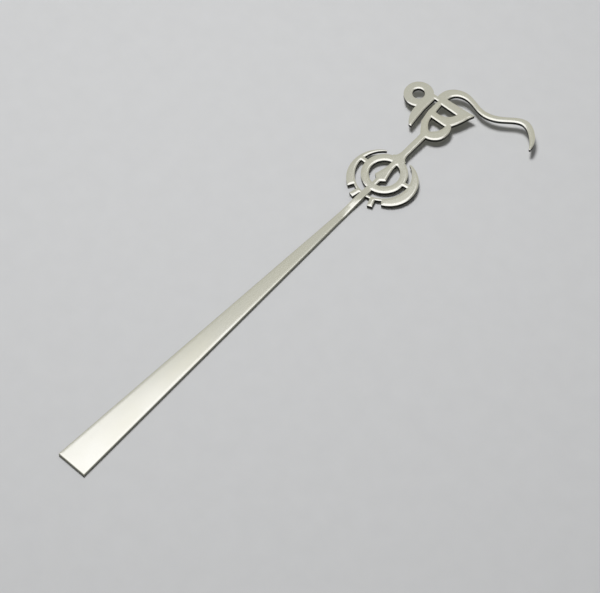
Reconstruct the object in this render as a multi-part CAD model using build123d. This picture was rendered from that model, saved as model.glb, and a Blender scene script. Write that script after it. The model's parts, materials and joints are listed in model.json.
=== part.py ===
from build123d import *
import os
from math import cos, radians, sin

# Flat metal bookmark, cut from sheet and soldered edge to edge.
# The origin is on the underside of the blade, on its centre line, halfway along it.
# +X is to the right, +Y runs along the blade to the head, +Z is the show face. Sizes are in mm and degrees.

# Sheet
SHEET = 1.0

# Blade, from its square end to the neck
BLADE_LENGTH = 92.0
BLADE_WIDTH = 7.9

# Neck, lapped into the blade and bent up just past it
NECK_WIDTH = 1.6
LAP_LENGTH = 3.0
BEND_AFTER_BLADE = 1.0
BEND_RADIUS = 12.0
HEAD_TILT = 3.3

# Ring, with its centre measured from the bend along the tilted head
RING_DISTANCE = 12.6
RING_OUTER_R = 5.7
RING_BAND = 1.9

# Centre sword inside the ring, heights measured from the ring's centre
SWORD_TIP_WIDTH = 1.6
SWORD_TAPER_TOP = 2.3
SWORD_WAIST_WIDTH = 2.4
SWORD_WAIST = 0.3
SWORD_SHOULDER_WIDTH = 3.4
SWORD_SHOULDER = -1.5
SWORD_SHOULDER_DROP = 0.8
SWORD_GRIP_WIDTH = 1.3

# Curved swords: their inner edges lie on one circle, a little lower than the ring's centre.
# Angles run from that circle's right, and the pair is turned together about the ring's centre.
KIRPAN_DROP = 0.45
KIRPAN_TURN = 3.5
SLOT = 1.2
KIRPAN_TIP_ANGLE = 60.0
KIRPAN_TIP_WIDTH = 0.3
KIRPAN_BELLY_ANGLE = -7.0
LEFT_BELLY_WIDTH = 1.5
RIGHT_BELLY_WIDTH = 2.55
KIRPAN_HEEL_ANGLE = -56.5
LEFT_HEEL_WIDTH = 2.2
RIGHT_HEEL_WIDTH = 1.8
BRIDGE_ANGLE = 3.0
BRIDGE_WIDTH = 1.1

# Hilts below the curved swords
HILT_BAND = 0.65
TAB_ANGLE = -73.2
TAB_WIDTH = 1.3
TAB_LENGTH = 2.7

# Stem from the ring to the sign, its foot filed to the ring's edge
STEM_WIDTH = 1.8
STEM_LENGTH = 8.7
FOOT_WIDTH = 3.8
FOOT_HEIGHT = 2.2
FOOT_TOE = 0.3

# Two-lobed letter, measured from the middle of its seat on the stem
BAR_TOP = 12.1
BAR_DEPTH = 2.05
BAR_TIP = (5.8, 12.6)
BAR_TIP_UNDERCUT = (0.65, 1.65)
LOBE_CUSP = (3.4, 6.6)
LOWER_LOBE_REACH = (4.4, 4.0)
UPPER_LOBE_REACH = (4.4, 8.6)
SPINE_X = -3.85
SPINE_KNEE = (-3.85, 6.6)
SPINE_TURN = (-3.2, 3.2)
SLOT_TOP = 10.35
UPPER_HOLE_LEFT = -2.45
UPPER_HOLE_RIGHT = 2.3
UPPER_HOLE_FOOT = (-2.15, 7.5)
UPPER_HOLE_SAG = (1.2, 8.4)
LOWER_HOLE_TOP = 5.6
LOWER_HOLE_LEFT = -1.95
LOWER_HOLE_RIGHT = 2.35
LOWER_HOLE_CHEEK = (-1.2, 3.35)
LOWER_HOLE_BOTTOM = (0.25, 2.0)

# Figure one, on the letter's left
SEAM_X = -4.85
SHOULDER_TOP = 11.4
LOOP_CENTRE = (-8.9, 9.0)
LOOP_OUTER_R = 3.75
LOOP_HOLE_CENTRE = (-9.0, 9.05)
LOOP_HOLE_R = 1.55
LEG_ROOT = (-7.1, 6.2)
LEG_CALF = (-6.55, 2.9)
LEG_SHIN = (-4.55, 3.3)
LEG_TIP = (-4.15, 0.4)
LEG_TIP_WIDTH = 0.75

# Sweep over the letter, rooted on the bar's left end: outer edge and inner edge, measured as the letter is
KAR_ROOT_X = -2.35
KAR_OUTER = [(-3.1, 15.6), (0.4, 16.8), (6.5, 15.45), (11.25, 16.95), (16.6, 19.8), (20.75, 17.5)]
KAR_INNER = [(-1.15, 14.55), (0.7, 15.2), (6.45, 14.05), (11.4, 15.3), (16.5, 18.15), (20.2, 15.95)]
KAR_TIP = (22.4, 13.5)
KAR_TIP_WIDTH = 0.4

# Places that follow from the sizes above
BLADE_END_Y = BLADE_LENGTH / 2
BEND_Y = BLADE_END_Y + BEND_AFTER_BLADE
HEAD = Pos(0, BEND_Y, 0) * Rot(HEAD_TILT, 0, 0)
RING_AT = Pos(0, RING_DISTANCE)
RING_INNER_R = RING_OUTER_R - RING_BAND
KIRPAN_AT = Pos(0, -KIRPAN_DROP)
KIRPAN_INNER_R = RING_OUTER_R + SLOT
SIGN_Y = RING_DISTANCE + RING_OUTER_R + STEM_LENGTH
SIGN_AT = Pos(0, SIGN_Y)
BAR_BOTTOM = BAR_TOP - BAR_DEPTH


def polar(radius, angle):
    """Point at this radius and angle from the origin."""
    return (radius * cos(radians(angle)), radius * sin(radians(angle)))


def raised(plan):
    """The plan's sheet metal, on the flat."""
    return extrude(plan, SHEET, dir=(0, 0, 1))


def in_head(plan):
    """A piece of the head: its plan cut from sheet and set in the tilted head."""
    return HEAD * raised(plan)


# Blade and neck
def blade_blank():
    """The blade before its lap is filed: a straight taper from the square end to the neck's width."""
    wide, narrow = BLADE_WIDTH / 2, NECK_WIDTH / 2
    corners = [(-wide, -BLADE_END_Y), (wide, -BLADE_END_Y), (narrow, BLADE_END_Y), (-narrow, BLADE_END_Y)]
    return raised(make_face(Polyline(*corners, close=True)))


def lap_zone():
    """Upper half of the sheet over the lap, which belongs to the neck."""
    middle = Pos(0, BLADE_END_Y - LAP_LENGTH / 2, SHEET * 3 / 4)
    return middle * Box(BLADE_WIDTH, LAP_LENGTH, SHEET / 2)


def neck_bar():
    """Side view of the neck, bent up at the head's angle, as wide as the neck."""
    rise, run = sin(radians(HEAD_TILT)), cos(radians(HEAD_TILT))
    half_turn = radians(HEAD_TILT) / 2
    below = (BEND_Y, 0)
    above = (BEND_Y - SHEET * sin(half_turn) / cos(half_turn), SHEET)
    end_below = (BEND_Y + RING_DISTANCE * run, RING_DISTANCE * rise)
    end_above = (end_below[0] - SHEET * rise, end_below[1] + SHEET * run)
    outline = Polyline((BLADE_END_Y, 0), below, end_below, end_above, above, (BLADE_END_Y, SHEET), close=True)
    side = make_face(outline)
    corners = side.vertices()
    side = fillet(corners.sort_by_distance(below)[0], BEND_RADIUS + SHEET)
    side = fillet(side.vertices().sort_by_distance(above)[0], BEND_RADIUS)
    return extrude(Plane.YZ * side, NECK_WIDTH / 2, both=True)


def ring_disc(radius):
    return RING_AT * Circle(radius)


def neck():
    tongue = blade_blank() & lap_zone()
    return neck_bar() - in_head(ring_disc(RING_OUTER_R)) + tongue


def blade():
    return blade_blank() - lap_zone()


# Emblem
def ring_plan():
    return ring_disc(RING_OUTER_R) - ring_disc(RING_INNER_R)


def sword_plan():
    """Narrow tip, concave flare to the shoulders, short grip: trimmed to the ring's inner edge."""
    tip, waist = SWORD_TIP_WIDTH / 2, SWORD_WAIST_WIDTH / 2
    shoulder, grip = SWORD_SHOULDER_WIDTH / 2, SWORD_GRIP_WIDTH / 2
    under = SWORD_SHOULDER - SWORD_SHOULDER_DROP
    right = [
        Line((0, RING_OUTER_R), (tip, RING_OUTER_R)),
        Line((tip, RING_OUTER_R), (tip, SWORD_TAPER_TOP)),
        ThreePointArc((tip, SWORD_TAPER_TOP), (waist, SWORD_WAIST), (shoulder, SWORD_SHOULDER)),
        Polyline((shoulder, SWORD_SHOULDER), (grip, under), (grip, -RING_OUTER_R), (0, -RING_OUTER_R)),
        Line((0, -RING_OUTER_R), (0, RING_OUTER_R)),
    ]
    half = make_face(right)
    return RING_AT * ((half + mirror(half, Plane.YZ)) & Circle(RING_INNER_R))


def turned(plan, side):
    """A plan drawn for the right of the ring, set on the given side and turned with the pair."""
    handed = plan if side > 0 else mirror(plan, Plane.YZ)
    return RING_AT * Rot(0, 0, KIRPAN_TURN) * handed


def kirpan_plan(side, belly_width, heel_width):
    """Crescent from a narrow tip to a square heel; its inner edge follows the ring across the slot."""
    tip_in = polar(KIRPAN_INNER_R, KIRPAN_TIP_ANGLE)
    tip_out = polar(KIRPAN_INNER_R + KIRPAN_TIP_WIDTH, KIRPAN_TIP_ANGLE)
    belly_out = polar(KIRPAN_INNER_R + belly_width, KIRPAN_BELLY_ANGLE)
    belly_in = polar(KIRPAN_INNER_R, KIRPAN_BELLY_ANGLE)
    heel_out = polar(KIRPAN_INNER_R + heel_width, KIRPAN_HEEL_ANGLE)
    heel_in = polar(KIRPAN_INNER_R, KIRPAN_HEEL_ANGLE)
    edges = [
        Line(tip_in, tip_out),
        ThreePointArc(tip_out, belly_out, heel_out),
        Line(heel_out, heel_in),
        ThreePointArc(heel_in, belly_in, tip_in),
    ]
    return turned(KIRPAN_AT * make_face(edges), side)


def hilt_plan(side):
    """Band from the heel round to the neck, with a tab that points away from the ring."""
    outer_r = KIRPAN_INNER_R + HILT_BAND
    end = -90 - side * KIRPAN_TURN
    middle = (KIRPAN_HEEL_ANGLE + end) / 2
    edges = [
        ThreePointArc(polar(KIRPAN_INNER_R, KIRPAN_HEEL_ANGLE), polar(KIRPAN_INNER_R, middle),
                      polar(KIRPAN_INNER_R, end)),
        Line(polar(KIRPAN_INNER_R, end), polar(outer_r, end)),
        ThreePointArc(polar(outer_r, end), polar(outer_r, middle), polar(outer_r, KIRPAN_HEEL_ANGLE)),
        Line(polar(outer_r, KIRPAN_HEEL_ANGLE), polar(KIRPAN_INNER_R, KIRPAN_HEEL_ANGLE)),
    ]
    tab = Rot(0, 0, TAB_ANGLE) * Pos(KIRPAN_INNER_R + TAB_LENGTH / 2, 0) * Rectangle(TAB_LENGTH, TAB_WIDTH)
    tab = tab - Circle(KIRPAN_INNER_R)
    grip = Pos(0, RING_DISTANCE / 2) * Rectangle(NECK_WIDTH, RING_DISTANCE)
    return turned(KIRPAN_AT * (make_face(edges) + tab), side) - grip


def bridge_plan(side):
    """Strut across the slot, seated on the ring and on the curved sword."""
    strut = Rot(0, 0, BRIDGE_ANGLE) * Pos(KIRPAN_INNER_R, 0) * Rectangle(KIRPAN_INNER_R, BRIDGE_WIDTH)
    slot = KIRPAN_AT * Circle(KIRPAN_INNER_R) - Circle(RING_OUTER_R)
    return turned(strut & slot, side)


def stem_plan():
    """Bar from the ring to the letter, with hollow flares at its foot that end in square toes on the ring."""
    half, foot = STEM_WIDTH / 2, FOOT_WIDTH / 2
    toe_y = RING_DISTANCE + RING_OUTER_R
    flare_y = toe_y + FOOT_HEIGHT
    right = make_face([
        Polyline((0, RING_DISTANCE), (foot, RING_DISTANCE), (foot, toe_y)),
        Bezier((foot, toe_y), (half, toe_y + FOOT_TOE), (half, flare_y)),
        Polyline((half, flare_y), (half, SIGN_Y), (0, SIGN_Y), (0, RING_DISTANCE)),
    ])
    return right + mirror(right, Plane.YZ) - ring_disc(RING_OUTER_R)


# Sign
def oora_plan():
    """Bar over two lobes, with a straight spine on the left and a hole in each lobe."""
    half = STEM_WIDTH / 2
    tip_under = (BAR_TIP[0] - BAR_TIP_UNDERCUT[0], BAR_TIP[1] - BAR_TIP_UNDERCUT[1])
    outline = [
        Polyline((-half, 0), (half, 0)),
        ThreePointArc((half, 0), LOWER_LOBE_REACH, LOBE_CUSP),
        ThreePointArc(LOBE_CUSP, UPPER_LOBE_REACH, tip_under),
        Polyline(tip_under, BAR_TIP, (SEAM_X, BAR_TOP), (SEAM_X, SLOT_TOP), (SPINE_X, SLOT_TOP), SPINE_KNEE),
        Polyline(SPINE_KNEE, SPINE_TURN, (-half, 0)),
    ]
    upper_left, upper_right = (UPPER_HOLE_LEFT, BAR_BOTTOM), (UPPER_HOLE_RIGHT, BAR_BOTTOM)
    upper_hole = make_face([
        Polyline(upper_right, upper_left, UPPER_HOLE_FOOT),
        ThreePointArc(UPPER_HOLE_FOOT, UPPER_HOLE_SAG, upper_right),
    ])
    lower_left, lower_right = (LOWER_HOLE_LEFT, LOWER_HOLE_TOP), (LOWER_HOLE_RIGHT, LOWER_HOLE_TOP)
    lower_hole = make_face([
        Line(lower_right, lower_left),
        ThreePointArc(lower_left, LOWER_HOLE_CHEEK, LOWER_HOLE_BOTTOM),
        TangentArc(lower_right, LOWER_HOLE_BOTTOM, tangent=(0, -1)),
    ])
    return SIGN_AT * (make_face(outline) - upper_hole - lower_hole)


def figure_one_plan():
    """Round loop with a hole, and a leg that narrows to a point beside the letter's spine."""
    leg_tip_left = (LEG_TIP[0] - LEG_TIP_WIDTH, LEG_TIP[1])
    leg = make_face([
        Polyline((SEAM_X, SHOULDER_TOP), (LOOP_CENTRE[0], SHOULDER_TOP), LOOP_CENTRE, LEG_ROOT),
        ThreePointArc(LEG_ROOT, LEG_CALF, leg_tip_left),
        Line(leg_tip_left, LEG_TIP),
        ThreePointArc(LEG_TIP, LEG_SHIN, (SEAM_X, LEG_ROOT[1])),
        Line((SEAM_X, LEG_ROOT[1]), (SEAM_X, SHOULDER_TOP)),
    ])
    loop = Pos(*LOOP_CENTRE) * Circle(LOOP_OUTER_R)
    hole = Pos(*LOOP_HOLE_CENTRE) * Circle(LOOP_HOLE_R)
    return SIGN_AT * (leg + loop - hole)


def on_bar(x):
    """Point on the bar's top edge, which rises a little to the tip."""
    along = (x - SEAM_X) / (BAR_TIP[0] - SEAM_X)
    return (x, BAR_TOP + along * (BAR_TIP[1] - BAR_TOP))


def kar_plan():
    """Sweep that stands on the letter's bar, arches over it and runs out in a wave to a narrow tip."""
    root_outer, root_inner = (SEAM_X, BAR_TOP), on_bar(KAR_ROOT_X)
    tip_inner = (KAR_TIP[0] - KAR_TIP_WIDTH, KAR_TIP[1])
    edges = [
        Spline(root_outer, *KAR_OUTER, KAR_TIP),
        Line(KAR_TIP, tip_inner),
        Spline(root_inner, *KAR_INNER, tip_inner),
        Line(root_inner, root_outer),
    ]
    return SIGN_AT * make_face(edges)


pieces = {
    "blade": blade(),
    "neck": neck(),
    "ring": in_head(ring_plan()),
    "centre_sword": in_head(sword_plan()),
    "left_kirpan": in_head(kirpan_plan(-1, LEFT_BELLY_WIDTH, LEFT_HEEL_WIDTH)),
    "right_kirpan": in_head(kirpan_plan(1, RIGHT_BELLY_WIDTH, RIGHT_HEEL_WIDTH)),
    "left_hilt": in_head(hilt_plan(-1)),
    "right_hilt": in_head(hilt_plan(1)),
    "left_bridge": in_head(bridge_plan(-1)),
    "right_bridge": in_head(bridge_plan(1)),
    "stem": in_head(stem_plan()),
    "oora": in_head(oora_plan()),
    "figure_one": in_head(figure_one_plan()),
    "kar": in_head(kar_plan()),
}

os.makedirs("parts", exist_ok=True)
for name, piece in pieces.items():
    export_step(piece, f"parts/{name}.step")
    print(name, len(piece.solids()), round(piece.volume, 2))
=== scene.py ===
"""Looks of a flat silver-coloured bookmark: softened sheet edges, satin metal, a pale table and soft light."""
import json
from math import ceil, cos, radians, sin

import bmesh
import bpy
from bpy.props import FloatProperty, FloatVectorProperty, PointerProperty
from bpy.types import Operator, Panel, PropertyGroup
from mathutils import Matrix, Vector
from mathutils.bvhtree import BVHTree

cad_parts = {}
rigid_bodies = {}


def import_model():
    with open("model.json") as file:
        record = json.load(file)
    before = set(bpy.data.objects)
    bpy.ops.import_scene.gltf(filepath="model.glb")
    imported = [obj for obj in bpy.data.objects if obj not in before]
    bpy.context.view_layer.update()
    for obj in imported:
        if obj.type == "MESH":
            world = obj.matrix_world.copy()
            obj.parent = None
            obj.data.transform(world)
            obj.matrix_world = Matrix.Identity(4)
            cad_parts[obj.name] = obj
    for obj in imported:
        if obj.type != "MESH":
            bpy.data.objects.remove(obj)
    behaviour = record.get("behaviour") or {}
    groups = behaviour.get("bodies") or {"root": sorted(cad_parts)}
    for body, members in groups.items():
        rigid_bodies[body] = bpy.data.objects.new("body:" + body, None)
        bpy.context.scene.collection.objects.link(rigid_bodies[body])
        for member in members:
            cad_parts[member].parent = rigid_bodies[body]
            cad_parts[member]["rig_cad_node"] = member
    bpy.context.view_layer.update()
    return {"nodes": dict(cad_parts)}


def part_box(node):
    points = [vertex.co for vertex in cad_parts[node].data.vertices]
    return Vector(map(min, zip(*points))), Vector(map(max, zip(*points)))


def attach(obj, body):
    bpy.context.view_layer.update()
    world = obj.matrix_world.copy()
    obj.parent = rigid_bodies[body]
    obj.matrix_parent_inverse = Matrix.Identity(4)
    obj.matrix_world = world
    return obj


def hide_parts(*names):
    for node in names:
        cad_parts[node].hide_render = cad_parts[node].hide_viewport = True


bl_info = {
    "name": "Pierced Bookmark",
    "version": (1, 0, 0),
    "blender": (4, 5, 0),
    "location": "View3D > Sidebar > Bookmark",
    "description": "Finishes the pieces of a soldered metal bookmark and sets them on a pale table",
    "category": "Object",
}

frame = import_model()

MM = 0.001
BODY = "root"

ACROSS = Vector((1, 0, 0))
ALONG = Vector((0, 1, 0))
UP = Vector((0, 0, 1))
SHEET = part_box("blade")[1].z

# Doubles nearer than this are one vertex, and faces that differ by less than this angle are one flat.
MERGE = 0.001 * MM
FLAT_ANGLE = radians(0.5)
# A face is a flat of the sheet, and not its cut wall, where the upright part of its normal is more than this.
UPRIGHT = 0.9
# An edge sharper than this stays a crease.
CREASE_ANGLE = radians(40)
# Walls are looked at in stretches of this length, this far below the show face, and a stretch that is this near
# to a neighbour is soldered to it.
PROBE = 0.1 * MM
PROBE_DEPTH = SHEET / 4
SEAM = 0.05 * MM
# Lines that divide each softened band beside a straight wall.
BAND_STEPS = 6

# Grains along each axis and detail of the metal's clouds, rubbing strokes and grit, and of the table's mottle.
CLOUDS = ((9 * MM, 16 * MM, 9 * MM), 3.0)
STROKES = ((0.09 * MM, 4 * MM, 0.09 * MM), 2.0)
GRIT = ((0.12 * MM, 0.12 * MM, 0.12 * MM), 2.0)
MOTTLE = ((5 * MM, 5 * MM, 5 * MM), 4.0)
NOISE_MIDDLE = 0.5
# How sharply the clouds part clean metal from tarnish, and how far clouds and strokes change the roughness.
CLOUD_CONTRAST = 1.6
CLOUD_GLOSS = 0.08
STROKE_GLOSS = 0.06
# The strokes' share of the relief, its height, and its strength on the flats and on the walls.
STROKE_SHARE = 0.6
RELIEF_HEIGHT = 0.01 * MM
SATIN_RELIEF = 0.12
WALL_RELIEF = 0.3
# Brightness of the clouds on a wall beside the wall's colour, which is darkened by painted shade.
WALL_CLOUDING = 0.8
# How far the mottle parts from the table's colour, and the table's gloss.
MOTTLE_RANGE = 0.03
TABLE_ROUGHNESS = 0.6
TABLE_SPECULAR = 0.2

# The Mix node's colour sockets, which share their names with its number sockets.
MIX_FIRST, MIX_SECOND, MIX_RESULT = 6, 7, 2


class MetalSettings(PropertyGroup):
    """Finish of the sheet metal."""

    silver: FloatVectorProperty(
        name="Silver", description="Colour of the clean metal", subtype="COLOR", size=3, min=0, max=1,
        default=(0.84, 0.835, 0.72))
    tarnish: FloatVectorProperty(
        name="Tarnish", description="Colour of the metal where it has warmed a little", subtype="COLOR", size=3,
        min=0, max=1, default=(0.80, 0.785, 0.625))
    satin: FloatProperty(
        name="Satin", description="Roughness of the rubbed faces", subtype="FACTOR", min=0, max=1, default=0.15)
    # Dark olive colour of the blade's and neck's file-worked walls: partly the duller metal of a filed edge,
    # partly painted shade from the contact shadow beside the blade that these walls mirror.
    filed: FloatVectorProperty(
        name="Filed", description="Colour of the blade's and neck's filed walls", subtype="COLOR", size=3,
        min=0, max=1, default=(0.33, 0.33, 0.27))
    # Near-black colour of the head's saw-cut walls: painted shade, standing in for the shadowed table under the
    # raised head that these walls mirror.
    sawn: FloatVectorProperty(
        name="Sawn", description="Colour of the head's dark sawn walls", subtype="COLOR", size=3, min=0, max=1,
        default=(0.03, 0.03, 0.024))
    wall_roughness: FloatProperty(
        name="Wall roughness", description="Roughness of the filed and sawn walls", subtype="FACTOR",
        min=0, max=1, default=0.5)


class EdgeSettings(PropertyGroup):
    """How the sheet's edges are softened."""

    head_width: FloatProperty(
        name="Head width", description="Width of the softened band along the head's edges", unit="LENGTH",
        min=0, default=0.6 * MM)
    head_depth: FloatProperty(
        name="Head depth", description="How far the head's show face falls to its edges", unit="LENGTH",
        min=0, default=0.07 * MM)
    blade_width: FloatProperty(
        name="Blade width", description="Width of the softened band along the blade's edges", unit="LENGTH",
        min=0, default=0.8 * MM)
    blade_depth: FloatProperty(
        name="Blade depth", description="How far the blade's show face falls to its edges", unit="LENGTH",
        min=0, default=0.02 * MM)
    blade_crown: FloatProperty(
        name="Blade crown", description="Radius of the blade's slight crown across its width", unit="LENGTH",
        min=0.1, default=0.7)
    round_width: FloatProperty(
        name="Round width", description="Width of the fine round at the blade's corners", unit="LENGTH",
        min=0, default=0.15 * MM)
    round_depth: FloatProperty(
        name="Round depth", description="Depth of the fine round at the blade's corners", unit="LENGTH",
        min=0, default=0.06 * MM)
    neck_width: FloatProperty(
        name="Neck width", description="Width of the softened band along the neck's edges", unit="LENGTH",
        min=0, default=0.5 * MM)
    neck_depth: FloatProperty(
        name="Neck depth", description="How far the neck's show face falls to its edges", unit="LENGTH",
        min=0, default=0.02 * MM)
    back_depth: FloatProperty(
        name="Back depth", description="How far the underside rises to the edges", unit="LENGTH",
        min=0, default=0.05 * MM)
    cell: FloatProperty(
        name="Cell", description="Size of the cells that the head's faces are divided into", unit="LENGTH",
        min=0.05 * MM, default=0.2 * MM)
    swell_start: FloatProperty(
        name="Swell start", description="Where the neck's swelling starts along the bookmark", unit="LENGTH",
        default=43.5 * MM)
    swell_rise: FloatProperty(
        name="Swell rise", description="Length of the neck's rise", unit="LENGTH", min=0.1 * MM, default=6.0 * MM)
    swell_fall: FloatProperty(
        name="Swell fall", description="Length of the neck's fall", unit="LENGTH", min=0.1 * MM, default=5.0 * MM)
    swell_height: FloatProperty(
        name="Swell height", description="Height of the neck's swelling", unit="LENGTH", min=0, default=0.30 * MM)


class StageSettings(PropertyGroup):
    """Table, light and camera."""

    table: FloatVectorProperty(
        name="Table", description="Colour of the table", subtype="COLOR", size=3, min=0, max=1,
        default=(0.60, 0.605, 0.60))
    table_size: FloatProperty(
        name="Table size", description="Side of the table top", unit="LENGTH", default=4.0)
    room_light: FloatProperty(
        name="Room light", description="Strength of the light from all round", default=0.12)
    room_mirrored: FloatProperty(
        name="Room mirrored", description="Brightness of the room as the metal mirrors it", default=0.38)
    room_seen: FloatProperty(
        name="Room seen", description="Brightness of the room behind the table", default=0.6)
    key_power: FloatProperty(
        name="Key power", description="Power of the key lamp, which casts the shadows", unit="POWER", default=2.35)
    key_size: FloatProperty(name="Key size", description="Side of the key lamp", unit="LENGTH", default=0.14)
    key_distance: FloatProperty(
        name="Key distance", description="From the aim point to the key lamp", unit="LENGTH", default=0.55)
    key_elevation: FloatProperty(
        name="Key elevation", description="Height of the key lamp over the far side of the table",
        subtype="ANGLE", default=radians(75))
    key_turn: FloatProperty(
        name="Key turn", description="Turn of the key lamp to the left of the far side", subtype="ANGLE",
        default=radians(25))
    softbox_power: FloatProperty(
        name="Softbox power", description="Power of the overhead softbox, which the metal mirrors",
        unit="POWER", default=0.358)
    softbox_colour: FloatVectorProperty(
        name="Softbox colour", description="Colour of the softbox's light, cool as daylight", subtype="COLOR",
        size=3, min=0, max=1, default=(0.85, 0.85, 1.0))
    softbox_width: FloatProperty(
        name="Softbox width", description="Width of the overhead softbox", unit="LENGTH", default=0.34)
    softbox_height: FloatProperty(
        name="Softbox height", description="Height of the overhead softbox", unit="LENGTH", default=0.32)
    softbox_distance: FloatProperty(
        name="Softbox distance", description="From the aim point to the softbox", unit="LENGTH", default=0.55)
    softbox_elevation: FloatProperty(
        name="Softbox elevation", description="Height of the softbox over the far side of the table",
        subtype="ANGLE", default=radians(77.0))
    softbox_turn: FloatProperty(
        name="Softbox turn", description="Turn of the softbox to the left of the far side", subtype="ANGLE",
        default=radians(18))
    card_power: FloatProperty(
        name="Card power", description="Power of the wide dim card behind the table", unit="POWER", default=0.30)
    card_width: FloatProperty(
        name="Card width", description="Width of the card", unit="LENGTH", default=1.1)
    card_height: FloatProperty(
        name="Card height", description="Height of the card", unit="LENGTH", default=0.46)
    card_distance: FloatProperty(
        name="Card distance", description="From the aim point to the card", unit="LENGTH", default=0.8)
    card_elevation: FloatProperty(
        name="Card elevation", description="Height of the card over the far side of the table", subtype="ANGLE",
        default=radians(46))
    aim: FloatVectorProperty(
        name="Aim", description="Point at the middle of the picture", subtype="XYZ", unit="LENGTH", size=3,
        default=(8.17 * MM, 20.0 * MM, 1.06 * MM))
    lens: FloatProperty(
        name="Lens", description="Focal length in millimetres for a 36 mm wide picture", default=117.0)
    distance: FloatProperty(
        name="Camera distance", description="From the aim point to the camera", unit="LENGTH", default=451 * MM)
    azimuth: FloatProperty(
        name="Camera azimuth", description="Camera's turn round the object from the blade's end", subtype="ANGLE",
        default=radians(41.9))
    elevation: FloatProperty(
        name="Camera elevation", description="Camera's height over the table", subtype="ANGLE",
        default=radians(57.2))


# Shader maths
class Wire:
    """A node's output that takes part in Python arithmetic: each operator adds a Math node."""

    def __init__(self, sheet, socket):
        self.sheet = sheet
        self.socket = socket

    def _math(self, operation, first, second):
        return self.sheet.add("ShaderNodeMath", {"operation": operation}, {0: first, 1: second})

    def __add__(self, other):
        return self._math("ADD", self, other)

    __radd__ = __add__

    def __sub__(self, other):
        return self._math("SUBTRACT", self, other)

    def __rsub__(self, other):
        return self._math("SUBTRACT", other, self)

    def __mul__(self, other):
        return self._math("MULTIPLY", self, other)

    __rmul__ = __mul__


class NodeSheet:
    """One material's or the world's nodes, all added by the method add."""

    def __init__(self, owner):
        owner.use_nodes = True
        self.tree = owner.node_tree
        self.tree.nodes.clear()

    def add(self, kind, settings=None, values=None, output=0):
        """Adds a node, gives it its settings and then its values or links, and returns one output."""
        node = self.tree.nodes.new(kind)
        for name, setting in (settings or {}).items():
            setattr(node, name, setting)
        for name, value in (values or {}).items():
            if isinstance(value, Wire):
                self.tree.links.new(value.socket, node.inputs[name])
            else:
                node.inputs[name].default_value = value
        return Wire(self, node.outputs[output]) if node.outputs else None


def noise(sheet, place, stretch, detail):
    """Noise from 0 to 1 with grains of the given size in metres along each axis."""
    scaled = sheet.add("ShaderNodeVectorMath", {"operation": "MULTIPLY"},
                       {0: place, 1: [1 / size for size in stretch]})
    return sheet.add("ShaderNodeTexNoise", None, {"Vector": scaled, "Scale": 1.0, "Detail": detail})


def mix(sheet, share, first, second):
    """From the first colour to the second as the share goes from 0 to 1."""
    return sheet.add("ShaderNodeMix", {"data_type": "RGBA"},
                     {"Factor": share, MIX_FIRST: (*first, 1), MIX_SECOND: (*second, 1)}, output=MIX_RESULT)


def metal(name, silver, tarnish, roughness, relief_strength):
    """Rubbed metal: clouded tone, and fine strokes along the blade that vary its gloss and relief."""
    material = bpy.data.materials.new(name)
    sheet = NodeSheet(material)
    place = sheet.add("ShaderNodeTexCoord", output="Object")
    clouds = noise(sheet, place, *CLOUDS)
    strokes = noise(sheet, place, *STROKES)
    grit = noise(sheet, place, *GRIT)
    tone = mix(sheet, clouds * CLOUD_CONTRAST - (CLOUD_CONTRAST - 1) / 2, silver, tarnish)
    gloss = roughness + (clouds - NOISE_MIDDLE) * CLOUD_GLOSS + (strokes - NOISE_MIDDLE) * STROKE_GLOSS
    relief = strokes * STROKE_SHARE + grit * (1 - STROKE_SHARE)
    bump = sheet.add("ShaderNodeBump", None,
                     {"Strength": relief_strength, "Distance": RELIEF_HEIGHT, "Height": relief})
    shader = sheet.add("ShaderNodeBsdfPrincipled", None,
                       {"Base Color": tone, "Metallic": 1.0, "Roughness": gloss, "Normal": bump})
    sheet.add("ShaderNodeOutputMaterial", None, {"Surface": shader})
    return material


def finish_material(context, finish):
    """One of the three finishes, made once: satin for the flats, and for the walls the file-worked colour,
    darkened partly by painted shade, and the near-black saw-cut colour, which is painted shade.
    """
    look = context.scene.bookmark_metal
    name = finish + "_silver"
    if name not in bpy.data.materials:
        if finish == "satin":
            metal(name, look.silver, look.tarnish, look.satin, SATIN_RELIEF)
        else:
            colour = getattr(look, finish)
            metal(name, colour, [WALL_CLOUDING * c for c in colour], look.wall_roughness, WALL_RELIEF)
    return bpy.data.materials[name]


# Modelling
def surface_of(name):
    """Search tree over a node's surface."""
    mesh = frame["nodes"][name].data
    return BVHTree.FromPolygons([v.co for v in mesh.vertices], [p.vertices for p in mesh.polygons])


def show_normal(name):
    """Normal of a flat node's show face."""
    return max((p.normal for p in frame["nodes"][name].data.polygons), key=lambda normal: normal.z).copy()


def is_wall(face):
    """Whether a face is a cut wall of the sheet, and not one of its flats."""
    return abs(face.normal.z) < UPRIGHT


def show_rims(name):
    """Edges between a node's show face and its walls, each with its two ends and the face's normal."""
    mesh = bmesh.new()
    mesh.from_mesh(frame["nodes"][name].data)
    bmesh.ops.remove_doubles(mesh, verts=mesh.verts[:], dist=MERGE)
    bmesh.ops.dissolve_degenerate(mesh, dist=MERGE, edges=mesh.edges[:])
    rims = []
    for edge in mesh.edges:
        flats = [face for face in edge.link_faces if face.normal.z > UPRIGHT]
        if len(flats) == 1 and any(is_wall(face) for face in edge.link_faces):
            rims.append((edge.verts[0].co.copy(), edge.verts[1].co.copy(), flats[0].normal.copy()))
    mesh.free()
    return rims


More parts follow.
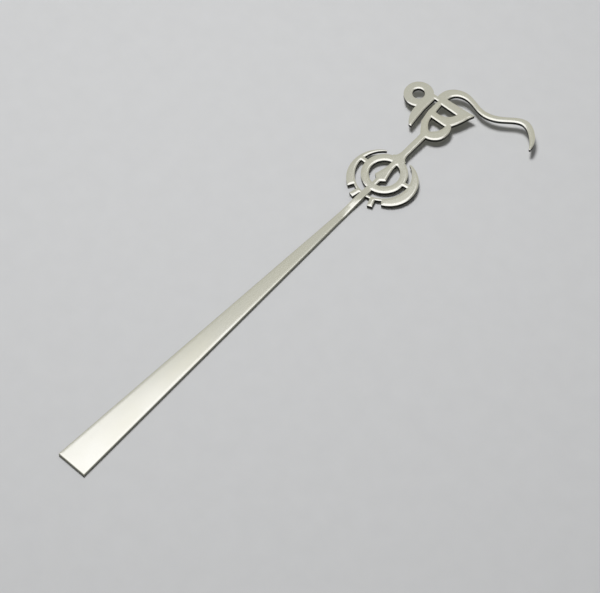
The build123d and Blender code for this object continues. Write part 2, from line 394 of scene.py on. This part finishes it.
def free_walls():
    """Search tree over all cut walls, without the stretches where a neighbour is soldered on."""
    surfaces = {name: surface_of(name) for name in frame["nodes"]}
    corners = []
    for name in surfaces:
        others = [surface for other, surface in surfaces.items() if other != name]
        for start, end, up in show_rims(name):
            count = ceil((end - start).length / PROBE)
            for i in range(count):
                first = start.lerp(end, i / count)
                second = start.lerp(end, (i + 1) / count)
                probe = (first + second) / 2 - up * PROBE_DEPTH
                if all(surface.find_nearest(probe, SEAM)[0] is None for surface in others):
                    corners += [first, second, second - up * SHEET, first - up * SHEET]
    return BVHTree.FromPolygons(corners, [range(i, i + 4) for i in range(0, len(corners), 4)])


def copy_of(name):
    """A merged copy of a node without its stored normals, in edit mode."""
    node = frame["nodes"][name]
    bpy.ops.object.select_all(action="DESELECT")
    node.select_set(True)
    bpy.context.view_layer.objects.active = node
    bpy.ops.object.duplicate()
    piece = bpy.context.object
    del piece["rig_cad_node"]
    piece.name = "finished_" + name
    bpy.ops.mesh.customdata_custom_splitnormals_clear()
    bpy.ops.object.mode_set(mode="EDIT")
    bpy.ops.mesh.select_mode(type="FACE")
    bpy.ops.mesh.select_all(action="SELECT")
    bpy.ops.mesh.remove_doubles(threshold=MERGE)
    bpy.ops.mesh.dissolve_degenerate(threshold=MERGE)
    return piece


def recut(piece, up):
    """Keeps the show face alone and gives it the sheet's thickness again, with one wall for each edge."""
    mesh = bmesh.from_edit_mesh(piece.data)
    for face in mesh.faces:
        face.select_set(face.normal.dot(up) < UPRIGHT)
    bmesh.update_edit_mesh(piece.data)
    bpy.ops.mesh.delete(type="FACE")
    bpy.ops.mesh.select_all(action="SELECT")
    bpy.ops.mesh.dissolve_limited(angle_limit=FLAT_ANGLE)
    bpy.ops.mesh.select_all(action="SELECT")
    bpy.ops.mesh.extrude_region_move(TRANSFORM_OT_translate={"value": -SHEET * up})
    bpy.ops.mesh.select_all(action="SELECT")
    bpy.ops.mesh.normals_make_consistent(inside=False)


def slice_through(mesh, place, normal):
    """Divides the mesh along a plane and keeps both sides."""
    bmesh.ops.bisect_plane(mesh, geom=mesh.verts[:] + mesh.edges[:] + mesh.faces[:], dist=MERGE,
                           plane_co=place, plane_no=normal)


def slice_into_cells(piece, directions, step):
    """Divides the piece into cells of about the given size, so that its flats can fall away to the edges."""
    mesh = bmesh.from_edit_mesh(piece.data)
    bmesh.ops.triangulate(mesh, faces=[face for face in mesh.faces if not is_wall(face)])
    for direction in directions:
        places = [v.co.dot(direction) for v in mesh.verts]
        low, high = min(places), max(places)
        count = ceil((high - low) / step)
        for i in range(1, count):
            slice_through(mesh, direction * (low + (high - low) * i / count), direction)
    bmesh.update_edit_mesh(piece.data)


def slice_beside_walls(piece, widths):
    """Divides the piece along each straight wall, with lines across bands of the given widths."""
    mesh = bmesh.from_edit_mesh(piece.data)
    straight = [(face.normal.copy(), face.calc_center_median()) for face in mesh.faces if is_wall(face)]
    for normal, place in straight:
        for width in widths:
            for i in range(1, BAND_STEPS + 1):
                slice_through(mesh, place - normal * width * i / BAND_STEPS, normal)
    bmesh.update_edit_mesh(piece.data)


def flat_corners(mesh):
    """Corners of the show face and of the back."""
    show = {v for face in mesh.faces if face.normal.z > UPRIGHT for v in face.verts}
    back = {v for face in mesh.faces if face.normal.z < -UPRIGHT for v in face.verts}
    return show, back


def soften(piece, up, width, show_depth, back_depth):
    """Lets the show face and the back fall away towards the free walls."""
    mesh = bmesh.from_edit_mesh(piece.data)
    mesh.normal_update()
    show, back = flat_corners(mesh)
    for corners, fall in ((show, -show_depth * up), (back, back_depth * up)):
        for v in corners:
            near = max(0, 1 - walls.find_nearest(v.co)[3] / width)
            v.co += fall * near * near
    bmesh.update_edit_mesh(piece.data)


def hand_over(context, piece, name, wall_finish_and_shade):
    """Gives the flats and walls their materials, smooths the shading and lets the piece stand for its node."""
    piece.data.materials.clear()
    for finish in ("satin", wall_finish_and_shade):
        piece.data.materials.append(finish_material(context, finish))
    mesh = bmesh.from_edit_mesh(piece.data)
    # The walls get the darkened wall material, which holds painted shade.
    for face in mesh.faces:
        face.material_index = 1 if is_wall(face) else 0
    bmesh.update_edit_mesh(piece.data)
    bpy.ops.object.mode_set(mode="OBJECT")
    bpy.ops.object.shade_smooth_by_angle(angle=CREASE_ANGLE)
    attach(piece, BODY)
    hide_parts(name)


def finish_plate(context, name):
    """A flat piece of the head, with its edges softened."""
    edges = context.scene.bookmark_edges
    up = show_normal(name)
    piece = copy_of(name)
    recut(piece, up)
    slice_into_cells(piece, (ACROSS, Vector((0, up.z, -up.y))), edges.cell)
    soften(piece, up, edges.head_width, edges.head_depth, edges.back_depth)
    # The head's walls take the near-black colour, which is painted shade.
    hand_over(context, piece, name, "sawn")


def finish_pair(context, kind):
    """Two like pieces of the head, on its left and on its right."""
    for side in ("left", "right"):
        finish_plate(context, side + "_" + kind)


def ease(share):
    """Smooth start and end for a share from 0 to 1."""
    return share * share * (3 - 2 * share)


walls = free_walls()


# Operators, one for each piece or pair of like pieces
class FinishBlade(Operator):
    """Softens the tapered blade's edges and gives it satin metal"""

    bl_idname = "bookmark.blade"
    bl_label = "Blade"

    def execute(self, context):
        edges = context.scene.bookmark_edges
        piece = copy_of("blade")
        bpy.ops.mesh.dissolve_limited(angle_limit=FLAT_ANGLE)
        slice_beside_walls(piece, (edges.blade_width, edges.round_width))
        slice_into_cells(piece, (ACROSS,), edges.blade_width)
        soften(piece, UP, edges.blade_width, edges.blade_depth, 0)
        soften(piece, UP, edges.round_width, edges.round_depth, edges.back_depth)
        self.crown(piece, edges)
        # The blade's walls take the dark olive colour, which is partly painted shade.
        hand_over(context, piece, "blade", "filed")
        return {"FINISHED"}

    def crown(self, piece, edges):
        """Lets the show face fall from the centre line to both sides, as on rolled strip."""
        mesh = bmesh.from_edit_mesh(piece.data)
        for v in flat_corners(mesh)[0]:
            v.co.z -= v.co.x ** 2 / (2 * edges.blade_crown)
        bmesh.update_edit_mesh(piece.data)


class FinishNeck(Operator):
    """Softens the bent neck and swells it a little where it was bent"""

    bl_idname = "bookmark.neck"
    bl_label = "Neck"

    def execute(self, context):
        edges = context.scene.bookmark_edges
        piece = copy_of("neck")
        bpy.ops.mesh.dissolve_limited(angle_limit=FLAT_ANGLE)
        slice_into_cells(piece, (ACROSS, ALONG), edges.cell)
        soften(piece, UP, edges.neck_width, edges.neck_depth, edges.back_depth)
        self.swell(piece, edges)
        # The neck's walls take the dark olive colour, which is partly painted shade.
        hand_over(context, piece, "neck", "filed")
        return {"FINISHED"}

    def swell(self, piece, edges):
        """Raises the show face in a smooth rise and fall."""
        mesh = bmesh.from_edit_mesh(piece.data)
        for v in flat_corners(mesh)[0]:
            rise = (v.co.y - edges.swell_start) / edges.swell_rise
            fall = 1 - (v.co.y - edges.swell_start - edges.swell_rise) / edges.swell_fall
            v.co.z += edges.swell_height * ease(max(0, min(rise, fall, 1)))
        bmesh.update_edit_mesh(piece.data)


class FinishRing(Operator):
    """Softens the emblem's ring"""

    bl_idname = "bookmark.ring"
    bl_label = "Ring"

    def execute(self, context):
        finish_plate(context, "ring")
        return {"FINISHED"}


class FinishCentreSword(Operator):
    """Softens the centre sword"""

    bl_idname = "bookmark.centre_sword"
    bl_label = "Centre Sword"

    def execute(self, context):
        finish_plate(context, "centre_sword")
        return {"FINISHED"}


class FinishCurvedSwords(Operator):
    """Softens the two curved swords"""

    bl_idname = "bookmark.curved_swords"
    bl_label = "Curved Swords"

    def execute(self, context):
        finish_pair(context, "kirpan")
        return {"FINISHED"}


class FinishHilts(Operator):
    """Softens the two hilts"""

    bl_idname = "bookmark.hilts"
    bl_label = "Hilts"

    def execute(self, context):
        finish_pair(context, "hilt")
        return {"FINISHED"}


class FinishBridges(Operator):
    """Softens the two struts between the ring and the curved swords"""

    bl_idname = "bookmark.bridges"
    bl_label = "Bridges"

    def execute(self, context):
        finish_pair(context, "bridge")
        return {"FINISHED"}


class FinishStem(Operator):
    """Softens the stem"""

    bl_idname = "bookmark.stem"
    bl_label = "Stem"

    def execute(self, context):
        finish_plate(context, "stem")
        return {"FINISHED"}


class FinishLetter(Operator):
    """Softens the two-lobed letter and its holes"""

    bl_idname = "bookmark.letter"
    bl_label = "Letter"

    def execute(self, context):
        finish_plate(context, "oora")
        return {"FINISHED"}


class FinishFigureOne(Operator):
    """Softens the figure one and its hole"""

    bl_idname = "bookmark.figure_one"
    bl_label = "Figure One"

    def execute(self, context):
        finish_plate(context, "figure_one")
        return {"FINISHED"}


class FinishSweep(Operator):
    """Softens the sweep with its wavy tail"""

    bl_idname = "bookmark.sweep"
    bl_label = "Sweep"

    def execute(self, context):
        finish_plate(context, "kar")
        return {"FINISHED"}


class SetStage(Operator):
    """Sets the pale table, the key lamp, the softbox, the dim card, the room and the camera"""

    bl_idname = "bookmark.stage"
    bl_label = "Stage"

    def execute(self, context):
        stage = context.scene.bookmark_stage
        self.lay_table(stage)
        key = self.hang_panel(context, stage, "key", stage.key_turn, stage.key_elevation, stage.key_distance,
                              (stage.key_size, stage.key_size), stage.key_power)
        key.visible_glossy = False
        softbox = self.hang_panel(
            context, stage, "softbox", stage.softbox_turn, stage.softbox_elevation, stage.softbox_distance,
            (stage.softbox_width, stage.softbox_height), stage.softbox_power)
        softbox.data.color = stage.softbox_colour
        self.hang_panel(context, stage, "card", 0, stage.card_elevation, stage.card_distance,
                        (stage.card_width, stage.card_height), stage.card_power)
        self.light_room(context, stage)
        self.place_camera(context, stage)
        context.scene.view_settings.view_transform = "Standard"
        return {"FINISHED"}

    def lay_table(self, stage):
        """A matt and faintly mottled table top under the bookmark."""
        bpy.ops.object.select_all(action="DESELECT")
        bpy.ops.mesh.primitive_plane_add(size=stage.table_size)
        table = bpy.context.object
        table.name = "table"
        material = bpy.data.materials.new("pale_table")
        sheet = NodeSheet(material)
        place = sheet.add("ShaderNodeTexCoord", output="Object")
        dull = [(1 - MOTTLE_RANGE) * c for c in stage.table]
        pale = [min(1, (1 + MOTTLE_RANGE) * c) for c in stage.table]
        tone = mix(sheet, noise(sheet, place, *MOTTLE), dull, pale)
        shader = sheet.add("ShaderNodeBsdfPrincipled", None, {
            "Base Color": tone, "Roughness": TABLE_ROUGHNESS, "Specular IOR Level": TABLE_SPECULAR})
        sheet.add("ShaderNodeOutputMaterial", None, {"Surface": shader})
        table.data.materials.append(material)

    def direction(self, azimuth, elevation):
        """From the aim point, turned round from the blade's end and raised over the table."""
        flat = cos(elevation)
        return Vector((sin(azimuth) * flat, -cos(azimuth) * flat, sin(elevation)))

    def hang_panel(self, context, stage, name, turn, elevation, distance, size, power):
        """A rectangle of light on the far side of the table that faces the aim point."""
        towards = self.direction(stage.azimuth + radians(180) + turn, elevation)
        bpy.ops.object.light_add(type="AREA")
        panel = context.object
        panel.name = name
        panel.data.shape = "RECTANGLE"
        panel.data.size, panel.data.size_y = size
        panel.data.energy = power
        panel.location = Vector(stage.aim) + towards * distance
        panel.rotation_euler = towards.to_track_quat("Z", "Y").to_euler()
        return panel

    def light_room(self, context, stage):
        """White light from all round, brighter where the metal mirrors it and where the camera sees it."""
        world = bpy.data.worlds.new("room")
        sheet = NodeSheet(world)
        mirrored = sheet.add("ShaderNodeLightPath", output="Is Glossy Ray")
        seen = sheet.add("ShaderNodeLightPath", output="Is Camera Ray")
        strength = (stage.room_light + mirrored * (stage.room_mirrored - stage.room_light)
                    + seen * (stage.room_seen - stage.room_light))
        glow = sheet.add("ShaderNodeBackground", None, {"Color": (1, 1, 1, 1), "Strength": strength})
        sheet.add("ShaderNodeOutputWorld", None, {"Surface": glow})
        context.scene.world = world

    def place_camera(self, context, stage):
        """The picture's camera, turned to the aim point."""
        towards = self.direction(stage.azimuth, stage.elevation)
        bpy.ops.object.camera_add()
        camera = context.object
        camera.name = "camera"
        camera.data.lens = stage.lens
        camera.data.sensor_fit = "HORIZONTAL"
        camera.location = Vector(stage.aim) + towards * stage.distance
        camera.rotation_euler = towards.to_track_quat("Z", "Y").to_euler()
        context.scene.camera = camera


PIECE_OPERATORS = (
    FinishBlade, FinishNeck, FinishRing, FinishCentreSword, FinishCurvedSwords, FinishHilts, FinishBridges,
    FinishStem, FinishLetter, FinishFigureOne, FinishSweep,
)


class BookmarkPanel(Panel):
    """Lists the bookmark's pieces and its stage"""

    bl_idname = "VIEW3D_PT_bookmark"
    bl_label = "Bookmark"
    bl_space_type = "VIEW_3D"
    bl_region_type = "UI"
    bl_category = "Bookmark"

    def draw(self, context):
        for step in (*PIECE_OPERATORS, SetStage):
            self.layout.operator(step.bl_idname)


SETTINGS = {
    "bookmark_metal": MetalSettings,
    "bookmark_edges": EdgeSettings,
    "bookmark_stage": StageSettings,
}
CLASSES = (*SETTINGS.values(), *PIECE_OPERATORS, SetStage, BookmarkPanel)


def register():
    for cls in CLASSES:
        bpy.utils.register_class(cls)
    for name, settings in SETTINGS.items():
        setattr(bpy.types.Scene, name, PointerProperty(type=settings))


def unregister():
    for name in SETTINGS:
        delattr(bpy.types.Scene, name)
    for cls in reversed(CLASSES):
        bpy.utils.unregister_class(cls)


def main():
    register()
    for step in (*PIECE_OPERATORS, SetStage):
        group, action = step.bl_idname.split(".")
        getattr(getattr(bpy.ops, group), action)()


if __name__ == "__main__":
    main()
